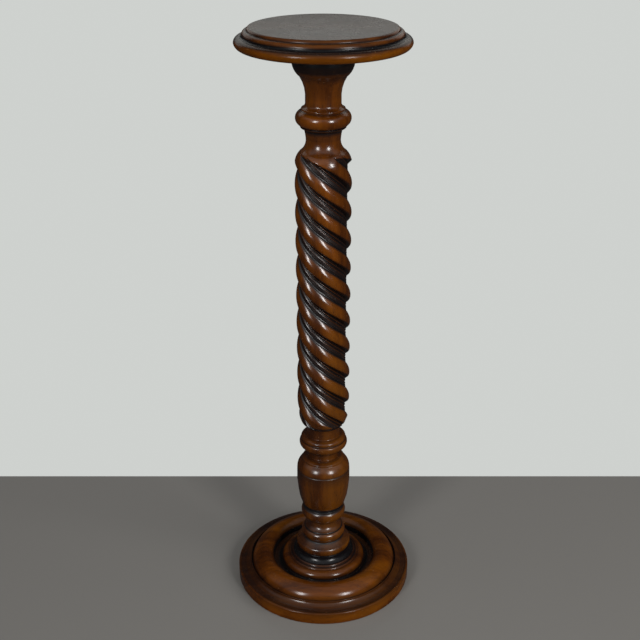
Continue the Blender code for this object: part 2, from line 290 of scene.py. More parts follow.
# The last column here is partly painted shade: the cap and the bell under the top's overhang and the lower neck
# under the knop are darkened for the shade that falls there.
neck_stick = [
    ("cap", 47.3, 17.1, 0.0, 1.0),
    ("bell's shoulder", 44.4, 13.2, 0.75, 0.85),
    ("upper bell", 36.1, 10.6, 0.75, 0.50),
    ("lower bell", 27.3, 26.8, -1.9, 0.22),
    ("upper neck", 27.4, 14.4, 0.0, 0.08),
    ("cove over the bead", 32.3, 6.0, -0.9, 0.30),
    ("bead", 32.7, 2.4, 1.1, 0.10),
    ("quirk", 34.8, 1.7, 0.0, 0.70),
    ("knop", 34.4, 22.8, 8.1, 0.0),
    ("quirk under the knop", 33.0, 0.6, 0.0, 1.0),
    ("fillet", 35.4, 0.8, 0.0, 0.80),
    ("fillet's edge", 33.2, 2.2, 0.5, 0.50),
    ("cove under the fillet", 29.0, 2.7, -0.4, 0.90),
    ("lower neck", 26.8, 13.1, -0.2, 0.36),
]
print(f"neck: {stick_drop(neck_stick) / MM:.1f} mm")

# %% Blank stick
blank_stick = [
    ("lower neck's flare", 36.7, 21.5, -3.4, 0.24),
    ("shoulder", 44.4, 17.8, 1.6, 0.10),
    ("plain blank", 43.6, 431.2, 0.0, 0.0),
    ("tail", 38.5, 18.0, 0.7, 0.0),
    ("curl under the strands", 27.2, 11.3, 2.3, 0.90),
]
print(f"blank: {stick_drop(blank_stick) / MM:.1f} mm")

# %% Lower stick
lower_stick = [
    ("neck under the twist", 28.2, 18.0, -0.3, 0.38),
    ("shelf", 31.6, 0.6, -0.2, 0.50),
    ("upper ring's top", 37.2, 2.5, 0.3, 0.10),
    ("upper ring's side", 37.6, 5.2, 0.6, 0.0),
    ("quirk between the rings", 37.0, 1.5, -0.3, 0.74),
    ("lower ring's edge", 39.7, 0.9, 0.2, 0.20),
    ("lower ring", 37.5, 11.5, 2.1, 0.0),
    ("lower ring's underside", 29.9, 5.0, 0.0, 0.80),
    ("throat cove", 24.4, 6.4, -0.5, 0.52),
    ("throat", 24.4, 9.0, -0.2, 0.40),
    ("urn's fillet", 28.9, 0.5, 0.0, 0.62),
    ("urn's shoulder", 36.1, 3.2, 0.3, 0.15),
    ("urn's rim", 36.4, 3.3, 0.0, 0.35),
    ("urn's dome", 45.3, 17.6, 2.5, 0.10),
    ("scribed line", 44.5, 0.9, 0.0, 0.86),
    ("scribed line's lower side", 45.5, 0.9, 0.0, 0.66),
    ("urn's upper body", 43.7, 39.9, 1.1, 0.13),
    ("urn's lower body", 37.5, 27.4, 1.0, 0.18),
    ("undercut", 32.8, 5.4, 0.0, 1.0),
    ("groove", 32.8, 4.0, -0.2, 1.0),
    ("collar's lip", 35.8, 1.5, 0.2, 0.85),
    ("collar", 36.4, 15.6, 2.4, 0.0),
    ("collar's underside", 26.9, 0.7, 0.0, 0.90),
    ("cove under the collar", 25.4, 4.0, 0.0, 0.75),
    ("small bead", 26.6, 2.5, 0.5, 0.15),
    ("small bead's foot", 24.9, 3.5, 0.0, 0.75),
    ("ankle", 24.9, 4.9, -0.3, 0.50),
    ("flare", 32.4, 9.6, -1.7, 0.50),
    ("flare's quirk", 32.3, 1.6, 0.0, 1.0),
    ("foot bead's edge", 34.4, 0.3, 0.0, 0.30),
    ("foot bead", 34.8, 14.3, 3.6, 0.14),
    ("cove's quirk", 33.9, 4.0, 0.0, 0.95),
    ("foot cove", 45.2, 7.3, -0.9, 0.55),
    ("foot", 45.0, 12.5, 2.2, 0.16),
]
print(f"lower turning: {stick_drop(lower_stick) / MM:.1f} mm")

# %% [markdown]
# ## The top
#
# The top is a round board with a stepped edge: a small round at the flat, a bead, a hollow and a thick
# rolled lip. Its underside is flat, and the column's cap stands against the middle of it.

# %% Top stick
FLAT_MIDDLE = 20.0
top_stick = [
    ("flat", 107.8, 0.0, 0.0, 0.80),
    ("edge of the flat", 112.3, 3.9, 1.1, 0.25),
    ("quirk", 113.0, 0.8, 0.0, 0.90),
    ("bead", 119.2, 5.6, 1.7, 0.0),
    ("hollow", 122.2, 3.9, -0.9, 1.0),
    ("lip's shoulder", 128.6, 1.8, 0.7, 0.80),
    ("lip's upper side", 131.4, 6.0, 0.7, 0.0),
    ("lip's lower side", 121.5, 8.2, 2.3, 0.0),
]
top_low, top_high = node_corners("top")
top_stretch = (top_high.z - top_low.z) / stick_drop(top_stick)
top_points, top_glazes_and_shades = eased(*read_stick(FLAT_MIDDLE, top_high.z, top_stick, top_stretch))
print(f"top: {len(top_points)} rings")

# %% [markdown]
# ## The base
#
# The base starts under the column's foot with a cove, a bead and a rounded step, drops into a deep
# well, rises to a thick round ring, and ends with a fillet, a broad hollow and the plinth's edge. The
# stick is read outwards here, and a drop below zero means that the outline rises.

# %% Base stick
SEAT_RADIUS = 45.0
# The last column here is partly painted shade: the well, the coves and the quirks are darkened for the shade that
# lies in them as well as for the glaze.
base_stick = [
    ("cove under the foot", 52.0, 12.3, -2.6, 1.0),
    ("inner ridge", 56.2, 3.0, 1.4, 0.10),
    ("quirk", 57.6, 0.3, -0.3, 0.85),
    ("outer ridge", 61.0, 2.1, 0.9, 0.10),
    ("outer ridge's quirk", 61.8, 0.0, -0.2, 0.60),
    ("rounded step", 73.0, 9.8, 3.3, 0.30),
    ("well's wall", 73.8, 2.6, 0.0, 1.0),
    ("well's fillet", 76.0, 0.2, 0.1, 0.50),
    ("well's foot", 76.3, 2.0, 0.0, 1.0),
    ("well's floor", 88.1, 0.0, -0.4, 0.76),
    ("ring's inner wall", 90.0, -8.0, 0.6, 0.95),
    ("ring's crown", 115.0, -8.9, 7.6, 0.18),
    ("ring", 127.6, 16.3, 2.7, 0.14),
    ("groove", 129.8, 0.0, -0.3, 0.85),
    ("fillet's inner side", 129.9, -3.0, 0.0, 0.80),
    ("fillet", 131.6, 0.0, 0.2, 0.10),
    ("fillet's outer side", 131.6, 3.0, 0.0, 0.30),
    ("upper hollow", 138.2, 5.0, -0.9, 0.62),
    ("lower hollow", 148.2, 1.6, -0.9, 0.74),
    ("plinth's quirk", 148.6, -0.6, 0.0, 0.74),
    ("plinth's top", 152.3, 0.6, 0.3, 0.15),
    ("plinth's edge", 152.8, 1.0, 0.12, 0.0),
    ("plinth's side", 152.8, 19.0, 0.0, 0.04),
    ("floor's bevel", 151.6, 1.0, 0.1, 0.25),
]
base_low, base_high = node_corners("base")
base_stretch = (base_high.z - base_low.z) / stick_drop(base_stick)
base_points, base_glazes_and_shades = eased(*read_stick(SEAT_RADIUS, base_high.z, base_stick, base_stretch))
print(f"base: {len(base_points)} rings, stretched by {base_stretch:.4f}")

# %% [markdown]
# ## The blank of the column
#
# The twist falls by one lead in each full turn. When the blank has as many sides as there are rows in a
# lead, the corner one row down and one side on lies on the same strand. So the rows are spaced by the
# lead over the sides, the faces are cut along that slant, and every carved edge will follow whole
# edges of the mesh with no steps.

# %% Turn the blank
STRANDS = 4
TWIST_LEAD = 187.2 * MM
FIRST_CUT = 14.1 * MM
COLUMN_SIDES = 144

column_low, column_high = node_corners("column")
drawn_drop = stick_drop(neck_stick) + stick_drop(blank_stick) + stick_drop(lower_stick)
column_stretch = (column_high.z - column_low.z) / drawn_drop
print(f"the sticks are stretched by {column_stretch:.4f} to stand between base and top")

neck, neck_glazes_and_shades = eased(*read_stick(CAP_RADIUS, column_high.z, neck_stick, column_stretch))
blank, blank_glazes_and_shades = read_stick(neck[-1].x / MM, neck[-1].y, blank_stick, column_stretch)
lower, lower_glazes_and_shades = eased(*read_stick(blank[-1].x / MM, blank[-1].y, lower_stick, column_stretch))
twist_head = blank[0].y - FIRST_CUT * column_stretch
twist_foot = blank[-1].y


def value_at(points, values, height):
    """Value along a half section, listed downwards, at one height."""
    for upper, under, first, second in zip(points, points[1:], values, values[1:]):
        if under.y <= height <= upper.y:
            share = (upper.y - height) / max(upper.y - under.y, 1e-9)
            return first + (second - first) * share
    return values[-1]


row_drop = TWIST_LEAD / COLUMN_SIDES
rows_over = math.floor((blank[0].y - twist_head) / row_drop - 0.25)
rows_under = math.floor((twist_head - twist_foot) / row_drop - 0.25)
row_heights = [twist_head - row_drop * row for row in range(-rows_over, rows_under + 1)]
blank_radii = [point.x for point in blank]
twist_rows = [Vector((value_at(blank, blank_radii, height), height)) for height in row_heights]
twist_glazes_and_shades = [value_at(blank, blank_glazes_and_shades, height) for height in row_heights]

column_points = neck + twist_rows + lower
column_glazes_and_shades = wiped(column_points, neck_glazes_and_shades + twist_glazes_and_shades + lower_glazes_and_shades, COLUMN_WIPE)
# painted shade: the column is darkened more and more from the twist's head to its foot, and all below it by the
# full share, as though less light reached it lower down
column_glazes_and_shades = [max(glaze_and_shade, PAINTED_SHADE_LOW_DOWN * min(1.0, max(0.0, (twist_head - point.y) / (twist_head - twist_foot))))
                 for point, glaze_and_shade in zip(column_points, column_glazes_and_shades)]
column = spin("carved_column", column_points, column_glazes_and_shades, COLUMN_SIDES, (twist_foot, blank[0].y))
print(f"column: {len(neck)} + {len(twist_rows)} + {len(lower)} rings, {count_triangles(column)} triangles")

# %% Turn the top and the base
TOP_SIDES = 192
BASE_SIDES = 224
top = spin("moulded_top", top_points, wiped(top_points, top_glazes_and_shades, TOP_WIPE), TOP_SIDES)
weigh_normals(top, 90)
base = spin("dished_base", base_points, wiped(base_points, base_glazes_and_shades, BASE_WIPE), BASE_SIDES)
weigh_normals(base, 90)
print(f"top: {count_triangles(top)} triangles, base: {count_triangles(base)} triangles")

# %% [markdown]
# ## Carving the twist
#
# A barley twist is a rule: around the column and down it, the same section comes back, shifted along
# a helix. Geometry Nodes can state that rule once. The tree below takes the turned blank, works out
# for each point how far it lies down its own strand, reads the carved radius there from a curve, and
# keeps the smaller of the blank's radius and the carved one. At the shoulder the cutter isn't let in
# everywhere at once: the flat band starts first and the strand's lower edge last, which gives each
# groove the leaf-shaped scoop that it starts with.

# %% Node helpers
def add_node(tree, kind, **settings):
    """New node with its settings."""
    node = tree.nodes.new(kind)
    for setting, value in settings.items():
        setattr(node, setting, value)
    return node


def feed(tree, socket, value):
    """Link a socket, or set its value."""
    if isinstance(value, bpy.types.NodeSocket):
        tree.links.new(value, socket)
    elif value is not None:
        socket.default_value = value


def calculate(tree, operation, a, b=None, c=None, clamp=False):
    """Math node's result."""
    node = add_node(tree, "ShaderNodeMath", operation=operation, use_clamp=clamp)
    for socket, value in zip(node.inputs, (a, b, c)):
        feed(tree, socket, value)
    return node.outputs[0]


def ramp_between(tree, value, low, high, smooth=True):
    """0 below low, 1 above high."""
    node = add_node(tree, "ShaderNodeMapRange",
                    interpolation_type="SMOOTHSTEP" if smooth else "LINEAR")
    feed(tree, node.inputs["Value"], value)
    feed(tree, node.inputs["From Min"], low)
    feed(tree, node.inputs["From Max"], high)
    return node.outputs["Result"]


def drawn_curve(tree, value, points):
    """Value read from a drawn curve; a point marked sharp keeps its corner."""
    node = add_node(tree, "ShaderNodeFloatCurve")
    curve = node.mapping.curves[0]
    while len(curve.points) < len(points):
        curve.points.new(0.5, 0.5)
    for handle, (step, y, sharp) in zip(curve.points, points):
        handle.location = (step / points[-1][0], y)
        handle.handle_type = "VECTOR" if sharp else "AUTO"
    node.mapping.update()
    feed(tree, node.inputs["Value"], value)
    return node.outputs["Value"]


# %% [markdown]
# The section of one strand is drawn from its upper edge down. First comes the strand itself, a broad
# flattened round that takes a little under half of the pitch. Its lower edge rolls into a deep groove,
# then come a narrow bead, a second groove, a flat band with a crisp upper edge, a fine cut line, and a
# short steep stretch up to the next strand. The glaze, with painted shade, fills all that lies below the strands.

# %% Strand section
GROOVE_DEPTH = 10.4 * MM
STEPS_DOWN_A_STRAND = COLUMN_SIDES // STRANDS
# step down the pitch, depth as a share of the groove's, corner
strand_section = [
    (0, 0.285, False), (1, 0.228, False), (2, 0.172, False), (3, 0.124, False), (4, 0.086, False),
    (5, 0.056, False), (7, 0.018, False), (9, 0.0, False), (11, 0.02, False), (13, 0.075, False),
    (14, 0.12, False), (15, 0.21, False), (16, 0.42, True), (17, 0.78, True), (18, 0.98, True),
    (19, 0.92, True), (20, 0.67, True), (21, 0.66, True), (22, 0.80, True), (23, 0.92, True),
    (24, 0.86, True), (25, 0.66, True), (26, 0.70, True), (31, 0.63, True), (32, 0.75, True), (33, 0.53, True),
    (34, 0.42, False), (35, 0.345, False), (36, 0.285, False),
]
# how dark the glaze and painted shade lie at the same steps; the bead and the band's edge are kept lighter,
# partly as a painted glint
strand_glaze_and_shade = [
    (0, 0.10, False), (1, 0.0, False), (11, 0.0, False), (13, 0.12, False), (15, 0.62, False),
    (16, 0.95, True), (17, 1.0, True), (19, 1.0, True), (20, 0.56, True), (21, 0.78, True),
    (22, 1.0, True), (24, 1.0, True), (25, 0.50, True), (26, 0.86, True), (28, 0.88, False),
    (31, 0.92, False), (32, 1.0, False), (33, 0.90, False), (35, 0.42, False), (36, 0.10, False),
]
# how far under the head the cut starts at each step, as a share of the scoop's reach
scoop_start = [
    (0, 0.0, True), (6, 0.0, True), (9, 1.0, True), (15, 1.0, True), (17, 0.83, True),
    (19, 0.66, True), (21, 0.58, True), (23, 0.42, True), (27, 0.33, True), (29, 0.0, True), (36, 0.0, True),
]
print(f"strand: {STEPS_DOWN_A_STRAND} steps of {TWIST_LEAD / COLUMN_SIDES / MM:.2f} mm")

# %% Twist tree
twist_tree = bpy.data.node_groups.new("carve barley twist", "GeometryNodeTree")
twist_tree.interface.new_socket("Geometry", in_out="INPUT", socket_type="NodeSocketGeometry")
twist_inputs = [
    ("Twist Head", "NodeSocketFloat", twist_head),
    ("Twist Foot", "NodeSocketFloat", twist_foot),
    ("Lead", "NodeSocketFloat", TWIST_LEAD),
    ("Strands", "NodeSocketInt", STRANDS),
    ("Crest Radius at Head", "NodeSocketFloat", 44.4 * MM),
    ("Crest Radius at Foot", "NodeSocketFloat", 43.6 * MM),
    ("Groove Depth", "NodeSocketFloat", GROOVE_DEPTH),
    ("Edge Softness", "NodeSocketFloat", 0.5 * MM),
    ("Scoop Reach", "NodeSocketFloat", 21.0 * MM),
    ("Scoop Run", "NodeSocketFloat", 8.0 * MM),
    ("Wood", "NodeSocketMaterial", None),
]
for socket_name, socket_type, value in twist_inputs:
    twist_tree.interface.new_socket(socket_name, in_out="INPUT", socket_type=socket_type)
twist_tree.interface.new_socket("Geometry", in_out="OUTPUT", socket_type="NodeSocketGeometry")

given = add_node(twist_tree, "NodeGroupInput").outputs
result = add_node(twist_tree, "NodeGroupOutput")
place = add_node(twist_tree, "GeometryNodeInputPosition").outputs[0]
split = add_node(twist_tree, "ShaderNodeSeparateXYZ")
feed(twist_tree, split.inputs[0], place)

# how far down the twist, and down its own strand, each point lies
turn = calculate(twist_tree, "ARCTAN2", split.outputs["Y"], split.outputs["X"])
turn = calculate(twist_tree, "DIVIDE", turn, math.tau)
drop = calculate(twist_tree, "SUBTRACT", given["Twist Head"], split.outputs["Z"])
pitch = calculate(twist_tree, "DIVIDE", given["Lead"], given["Strands"])
phase = calculate(twist_tree, "DIVIDE", drop, pitch)
phase = calculate(twist_tree, "SUBTRACT", phase, calculate(twist_tree, "MULTIPLY", turn, given["Strands"]))
down_strand = calculate(twist_tree, "FRACT", phase)

# the carved radius there
length = calculate(twist_tree, "SUBTRACT", given["Twist Head"], given["Twist Foot"])
along = calculate(twist_tree, "DIVIDE", drop, length)
crest = add_node(twist_tree, "ShaderNodeMix", data_type="FLOAT")
feed(twist_tree, crest.inputs["Factor"], along)
feed(twist_tree, crest.inputs["A"], given["Crest Radius at Head"])
feed(twist_tree, crest.inputs["B"], given["Crest Radius at Foot"])
depth = calculate(twist_tree, "MULTIPLY", drawn_curve(twist_tree, down_strand, strand_section),
                  given["Groove Depth"])
carved = calculate(twist_tree, "SUBTRACT", crest.outputs["Result"], depth)

# the turned radius, and the cutter let into it over the scoop's run
blank_radius = calculate(twist_tree, "SQRT", calculate(
    twist_tree, "ADD",
    calculate(twist_tree, "MULTIPLY", split.outputs["X"], split.outputs["X"]),
    calculate(twist_tree, "MULTIPLY", split.outputs["Y"], split.outputs["Y"])))
start = calculate(twist_tree, "MULTIPLY", drawn_curve(twist_tree, down_strand, scoop_start),
                  given["Scoop Reach"])
let_in = ramp_between(twist_tree, drop, start, calculate(
    twist_tree, "ADD", start, given["Scoop Run"]), False)
cut_in = calculate(twist_tree, "MULTIPLY", let_in, calculate(twist_tree, "SUBTRACT", carved, blank_radius))
carved = calculate(twist_tree, "ADD", blank_radius, cut_in)

# the smaller of blank and carved radius, with the edge between them sanded
radius = calculate(twist_tree, "SMOOTH_MIN", blank_radius, carved, given["Edge Softness"])
shrink = calculate(twist_tree, "DIVIDE", radius, blank_radius)
joined = add_node(twist_tree, "ShaderNodeCombineXYZ")
feed(twist_tree, joined.inputs["X"], calculate(twist_tree, "MULTIPLY", split.outputs["X"], shrink))
feed(twist_tree, joined.inputs["Y"], calculate(twist_tree, "MULTIPLY", split.outputs["Y"], shrink))
feed(twist_tree, joined.inputs["Z"], split.outputs["Z"])

# only between head and foot
under_head = calculate(twist_tree, "LESS_THAN", split.outputs["Z"], given["Twist Head"])
over_foot = calculate(twist_tree, "GREATER_THAN", split.outputs["Z"], given["Twist Foot"])
inside = calculate(twist_tree, "MULTIPLY", under_head, over_foot)

# the glaze and painted shade lie where wood was cut away, besides what the turned blank already has
cut_away = calculate(twist_tree, "SUBTRACT", blank_radius, carved)
cut_share = ramp_between(twist_tree, cut_away, -0.2 * MM, 1.6 * MM)
groove_glaze_and_shade = calculate(twist_tree, "MULTIPLY", drawn_curve(twist_tree, down_strand, strand_glaze_and_shade), cut_share)
groove_glaze_and_shade = calculate(twist_tree, "MULTIPLY", groove_glaze_and_shade, inside)
turned_glaze_and_shade = add_node(twist_tree, "GeometryNodeInputNamedAttribute", data_type="FLOAT")
turned_glaze_and_shade.inputs["Name"].default_value = "glaze_and_shade"
glaze_and_shade = calculate(twist_tree, "MAXIMUM", groove_glaze_and_shade, turned_glaze_and_shade.outputs["Attribute"])
flow = given["Geometry"]
for attribute, value in (("glaze_and_shade", glaze_and_shade), ("in grooves", groove_glaze_and_shade)):
    stored = add_node(twist_tree, "GeometryNodeStoreNamedAttribute", data_type="FLOAT", domain="POINT")
    feed(twist_tree, stored.inputs["Geometry"], flow)
    stored.inputs["Name"].default_value = attribute
    feed(twist_tree, stored.inputs["Value"], value)
    flow = stored.outputs["Geometry"]

moved = add_node(twist_tree, "GeometryNodeSetPosition")
feed(twist_tree, moved.inputs["Geometry"], flow)
feed(twist_tree, moved.inputs["Selection"], inside)
feed(twist_tree, moved.inputs["Position"], joined.outputs[0])
realized = add_node(twist_tree, "GeometryNodeRealizeInstances")
feed(twist_tree, realized.inputs["Geometry"], moved.outputs["Geometry"])
painted = add_node(twist_tree, "GeometryNodeSetMaterial")
feed(twist_tree, painted.inputs["Geometry"], realized.outputs["Geometry"])
feed(twist_tree, painted.inputs["Material"], given["Wood"])
feed(twist_tree, result.inputs["Geometry"], painted.outputs["Geometry"])
print(f"twist tree: {len(twist_tree.nodes)} nodes, pitch {TWIST_LEAD / STRANDS / MM:.1f} mm")

# %% [markdown]
# ## Wood under the stain
#
# A stained and glazed hardwood shows little figure: long faint streaks, and short dark pores that run
# with the grain. Noise that is stretched along the grain gives both. The grain's direction is an input,
# because it runs up the column but lies flat in the top and the base.

# %% Grain group
def new_group(name, inputs, outputs):
    """Shader node group with named sockets."""
    tree = bpy.data.node_groups.new(name, "ShaderNodeTree")
    for socket_name, socket_type, value in inputs:
        socket = tree.interface.new_socket(socket_name, in_out="INPUT", socket_type=socket_type)
        if value is not None:
            socket.default_value = value
    for socket_name, socket_type in outputs:
        tree.interface.new_socket(socket_name, in_out="OUTPUT", socket_type=socket_type)
    given = add_node(tree, "NodeGroupInput").outputs
    result = add_node(tree, "NodeGroupOutput").inputs
    return tree, given, result


def noise(tree, vector, scale, detail=3.0, roughness=0.5):
    """Noise node's value."""
    node = add_node(tree, "ShaderNodeTexNoise")
    feed(tree, node.inputs["Vector"], vector)
    feed(tree, node.inputs["Scale"], scale)
    feed(tree, node.inputs["Detail"], detail)
    feed(tree, node.inputs["Roughness"], roughness)
    return node.outputs["Fac"]


def stretched(tree, vector, scale):
    """Vector scaled by its own amount on each axis."""
    node = add_node(tree, "ShaderNodeVectorMath", operation="MULTIPLY")
    feed(tree, node.inputs[0], vector)
    feed(tree, node.inputs[1], scale)
    return node.outputs[0]


grain_group, given, result = new_group(
    "grain of the wood",
    [("Place", "NodeSocketVector", None), ("Grain Direction", "NodeSocketVector", (1.0, 1.0, 0.1))],
    [("Streaks", "NodeSocketFloat"), ("Golden Patches", "NodeSocketFloat"), ("Pores", "NodeSocketFloat")])
with_grain = stretched(grain_group, given["Place"], given["Grain Direction"])
broad = noise(grain_group, with_grain, 27.0, 4.0, 0.55)
fine = noise(grain_group, with_grain, 260.0, 2.0, 0.6)
feed(grain_group, result["Streaks"], calculate(grain_group, "ADD", calculate(
    grain_group, "MULTIPLY", broad, 0.86), calculate(grain_group, "MULTIPLY", fine, 0.14)))
golden = noise(grain_group, with_grain, 15.0, 3.0, 0.6)
feed(grain_group, result["Golden Patches"], ramp_between(grain_group, golden, 0.44, 0.64))
pore_noise = noise(grain_group, with_grain, 900.0, 1.0, 0.5)
feed(grain_group, result["Pores"], ramp_between(grain_group, pore_noise, 0.62, 0.72))
print("grain group:", len(grain_group.nodes), "nodes")

# %% [markdown]
# ## Lines that the cutter left
#
# The grooves were cut by a shaped tool and never sanded, so fine lines run along them from head to foot.
# They follow the same rule as the twist: the height along the strand decides. As geometry they would
# cost a mesh ten times as fine, so they are heights in the material, laid down each strand.

# %% Tool line group
line_group, given, result = new_group(
    "lines along the strands",
    [("Place", "NodeSocketVector", None), ("Twist Head", "NodeSocketFloat", 0.0),
     ("Pitch", "NodeSocketFloat", 1.0), ("Strands", "NodeSocketFloat", 1.0),
     ("Lines", "NodeSocketFloat", 14.0)],
    [("Lines", "NodeSocketFloat")])
split = add_node(line_group, "ShaderNodeSeparateXYZ")
feed(line_group, split.inputs[0], given["Place"])
turn = calculate(line_group, "ARCTAN2", split.outputs["Y"], split.outputs["X"])
turn = calculate(line_group, "MULTIPLY", calculate(line_group, "DIVIDE", turn, math.tau), given["Strands"])
drop = calculate(line_group, "SUBTRACT", given["Twist Head"], split.outputs["Z"])
phase = calculate(line_group, "SUBTRACT", calculate(line_group, "DIVIDE", drop, given["Pitch"]), turn)
line_noise = add_node(line_group, "ShaderNodeTexNoise", noise_dimensions="1D")
feed(line_group, line_noise.inputs["W"], calculate(line_group, "FRACT", phase))
feed(line_group, line_noise.inputs["Scale"], given["Lines"])
feed(line_group, line_noise.inputs["Detail"], 0.0)
feed(line_group, result["Lines"], ramp_between(line_group, line_noise.outputs["Fac"], 0.35, 0.65))
print("tool line group:", len(line_group.nodes), "nodes")

# %% [markdown]
# ## Glaze and painted shade
#
# After staining, a blue-black glaze is brushed on and wiped off. It stays in quirks, coves and carved
# grooves, thins out over the rounds, and never ends in a clean line. The same mask also carries painted
# shade, darkness laid into the colour where shade falls. The group turns the glaze and shade that the
# mesh carries into an uneven mask.

# %% Glaze group
glaze_and_shade_group, given, result = new_group(
    "glaze and painted shade in the hollows",
    [("Place", "NodeSocketVector", None), ("Start", "NodeSocketFloat", 0.04),
     ("Full", "NodeSocketFloat", 0.92), ("Unevenness", "NodeSocketFloat", 0.14)],
    [("Glaze and Shade", "NodeSocketFloat")])
left_glaze_and_shade = add_node(glaze_and_shade_group, "ShaderNodeAttribute", attribute_name="glaze_and_shade").outputs["Fac"]
patchy = calculate(glaze_and_shade_group, "SUBTRACT", noise(glaze_and_shade_group, given["Place"], 60.0, 4.0, 0.6), 0.5)
patchy = calculate(glaze_and_shade_group, "MULTIPLY", patchy, given["Unevenness"])
feed(glaze_and_shade_group, result["Glaze and Shade"], ramp_between(
    glaze_and_shade_group, calculate(glaze_and_shade_group, "ADD", left_glaze_and_shade, patchy), given["Start"], given["Full"], False))

# %% [markdown]
# ## Lacquer
#
# The clear finish is satin, sprayed and then lived with. Up close it has a fine orange peel, it follows
# the long waves that sanding left, and it is rubbed duller in places. All of that is roughness and
# height, so it is one group with two outputs.

# %% Lacquer group
lacquer_group, given, result = new_group(
    "worn lacquer",
    [("Place", "NodeSocketVector", None), ("Gloss", "NodeSocketFloat", 0.20),
     ("Rubbing", "NodeSocketFloat", 0.06)],
    [("Roughness", "NodeSocketFloat"), ("Height", "NodeSocketFloat")])
peel = noise(lacquer_group, given["Place"], 1400.0, 1.0, 0.5)
waves = noise(lacquer_group, given["Place"], 90.0, 2.0, 0.5)
rubbed = noise(lacquer_group, given["Place"], 22.0, 5.0, 0.65)
rubbed = ramp_between(lacquer_group, rubbed, 0.3, 0.8, False)
feed(lacquer_group, result["Roughness"], calculate(
    lacquer_group, "ADD", given["Gloss"], calculate(lacquer_group, "MULTIPLY", rubbed, given["Rubbing"])))
feed(lacquer_group, result["Height"], calculate(
    lacquer_group, "ADD", calculate(lacquer_group, "MULTIPLY", peel, 0.05),
    calculate(lacquer_group, "MULTIPLY", waves, 0.30)))

# %% [markdown]
# ## Wear
#
# Years of use left short hairline scratches, a few pale nicks where the stain was knocked off, and dust
# specks that settled in the glazed hollows. A scratch is the thin line where a slow noise crosses its
# middle, kept only in patches. Nicks and dust are the rare peaks of finer noises.

# %% Wear group
wear_group, given, result = new_group(
    "wear of the years",
    [("Place", "NodeSocketVector", None), ("Glaze and Shade", "NodeSocketFloat", 0.0),
     ("Scratch Width", "NodeSocketFloat", 0.0018)],
    [("Scratches", "NodeSocketFloat"), ("Nicks", "NodeSocketFloat"), ("Dust", "NodeSocketFloat")])
wander = calculate(wear_group, "SUBTRACT", noise(wear_group, given["Place"], 26.0, 1.0, 0.4), 0.5)
hairline = calculate(wear_group, "LESS_THAN", calculate(wear_group, "ABSOLUTE", wander), given["Scratch Width"])
patches = ramp_between(wear_group, noise(wear_group, given["Place"], 75.0, 1.0, 0.5), 0.58, 0.66)
feed(wear_group, result["Scratches"], calculate(wear_group, "MULTIPLY", hairline, patches))
nicks = ramp_between(wear_group, noise(wear_group, given["Place"], 330.0, 1.0, 0.5), 0.74, 0.78)
lived_with = ramp_between(wear_group, noise(wear_group, given["Place"], 17.0, 1.0, 0.5), 0.52, 0.62)
feed(wear_group, result["Nicks"], calculate(wear_group, "MULTIPLY", nicks, lived_with))
specks = ramp_between(wear_group, noise(wear_group, given["Place"], 620.0, 1.0, 0.5), 0.68, 0.74)
in_hollows = ramp_between(wear_group, given["Glaze and Shade"], 0.55, 0.95)
feed(wear_group, result["Dust"], calculate(wear_group, "MULTIPLY", specks, in_hollows))
print("wear group:", len(wear_group.nodes), "nodes")

# %% [markdown]
# ## The finish
#
# Each piece gets its own material from these groups. The shader itself stays in the material. The mask
# of glaze and painted shade mixes the colour towards near-black. Where the glaze lies thick, the lacquer
# over it is duller, so the same mask also raises the roughness.

# %% Materials
STAIN_LIGHT = (0.148, 0.039, 0.0014, 1.0)
STAIN_DARK = (0.036, 0.0080, 0.0006, 1.0)
STAIN_GOLDEN = (0.175, 0.060, 0.0020, 1.0)
GOLDEN_SHARE = 0.38
BARE_WOOD = (0.30, 0.16, 0.07, 1.0)
DUST_COLOUR = (0.16, 0.16, 0.15, 1.0)
DUST_SHARE = 0.25
NICK_SHARE = 0.55
SCRATCH_SHARE = 0.06
# near-black of the glaze and the pores, also used for painted shade
GLAZE_AND_SHADE_COLOUR = (0.0036, 0.0030, 0.0036, 1.0)
GLAZE_BUILD = 1.7
LINE_HEIGHT = 0.10 * MM
LINE_THINNING_AND_GLINT = 0.07


def mix_colours(tree, share, first, second, blend="MIX"):
    """Mix node's colour."""
    node = add_node(tree, "ShaderNodeMix", data_type="RGBA", blend_type=blend)
    feed(tree, node.inputs["Factor"], share)
    feed(tree, node.inputs[6], first)
    feed(tree, node.inputs[7], second)
    return node.outputs[2]


